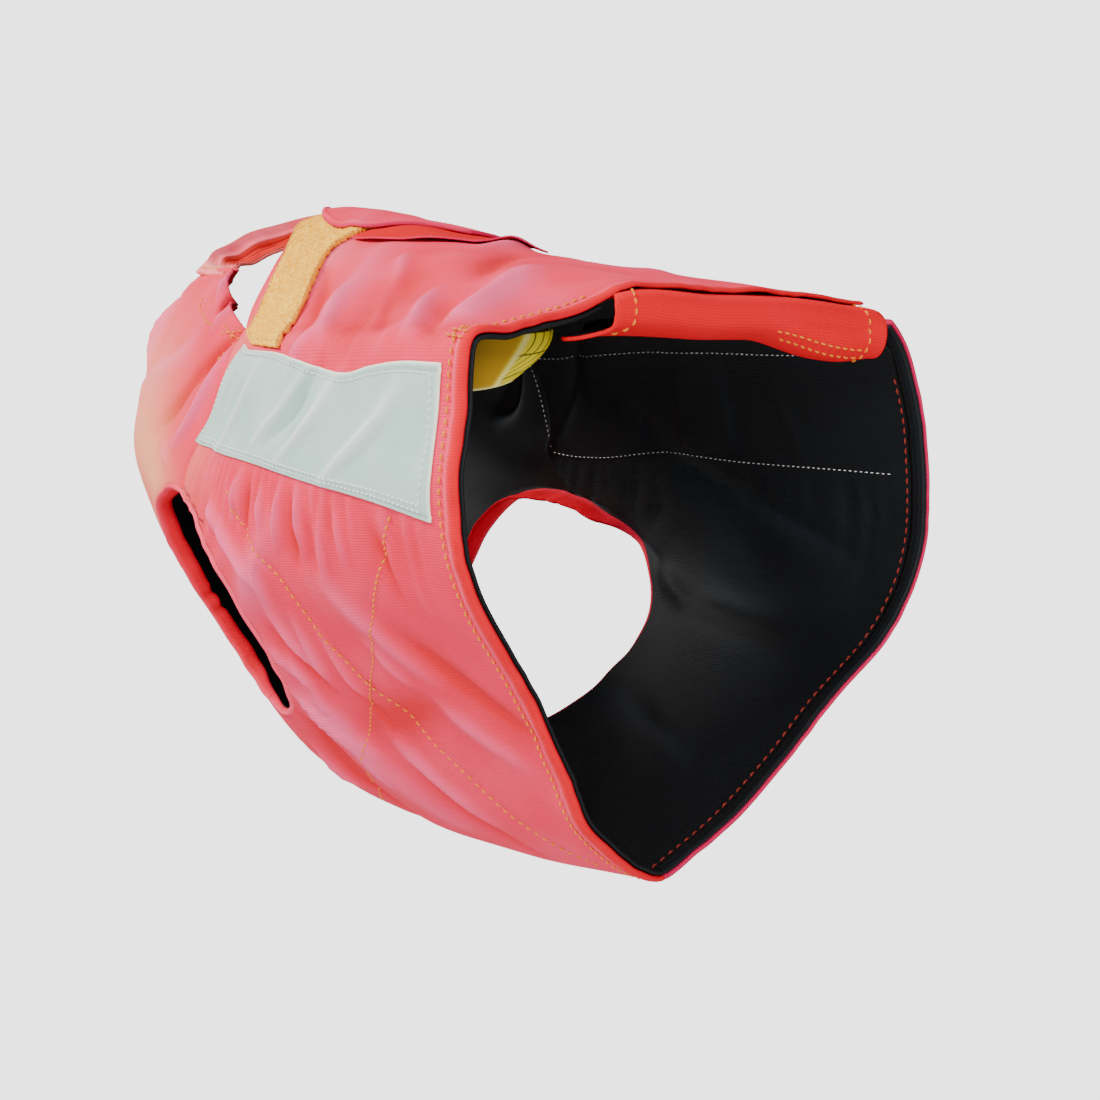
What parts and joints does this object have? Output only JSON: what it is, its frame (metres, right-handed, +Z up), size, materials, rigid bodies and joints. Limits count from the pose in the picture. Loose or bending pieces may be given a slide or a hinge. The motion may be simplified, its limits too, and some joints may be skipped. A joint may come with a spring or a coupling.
{
  "type": "dog protective vest",
  "caption": "Hollow padded protective vest for a hunting dog, filled out as worn, with leg holes, reflective bands, a loop fastener strip and a collar strap.",
  "frame": {"origin": "underside of the back on the midline, where the dog's back carries the vest", "axes": "+Z up from the dog's back, -Y towards its head, +X towards its left side"},
  "size_m": [0.2649, 0.4438, 0.3205],
  "materials": {
    "outer_cloth": "matte",
    "red_binding": "matte",
    "lining_cloth": "matte",
    "reflective_cloth": "satin",
    "loop_fastener": "matte",
    "label_tape": "satin"
  },
  "bodies": {
    "root": {"left_panel": "outer_cloth", "right_panel": "outer_cloth", "chest_panel": "outer_cloth", "left_lining": "lining_cloth", "right_lining": "lining_cloth", "chest_lining": "lining_cloth", "left_leg_binding": "red_binding", "right_leg_binding": "red_binding", "left_rear_hem": "red_binding", "right_rear_hem": "red_binding", "left_band": "reflective_cloth", "right_band": "reflective_cloth", "loop_strip": "loop_fastener", "rear_roll": "outer_cloth", "collar_strap": "outer_cloth", "neck_tab": "outer_cloth", "label": "label_tape"}
  },
  "joints": []
}
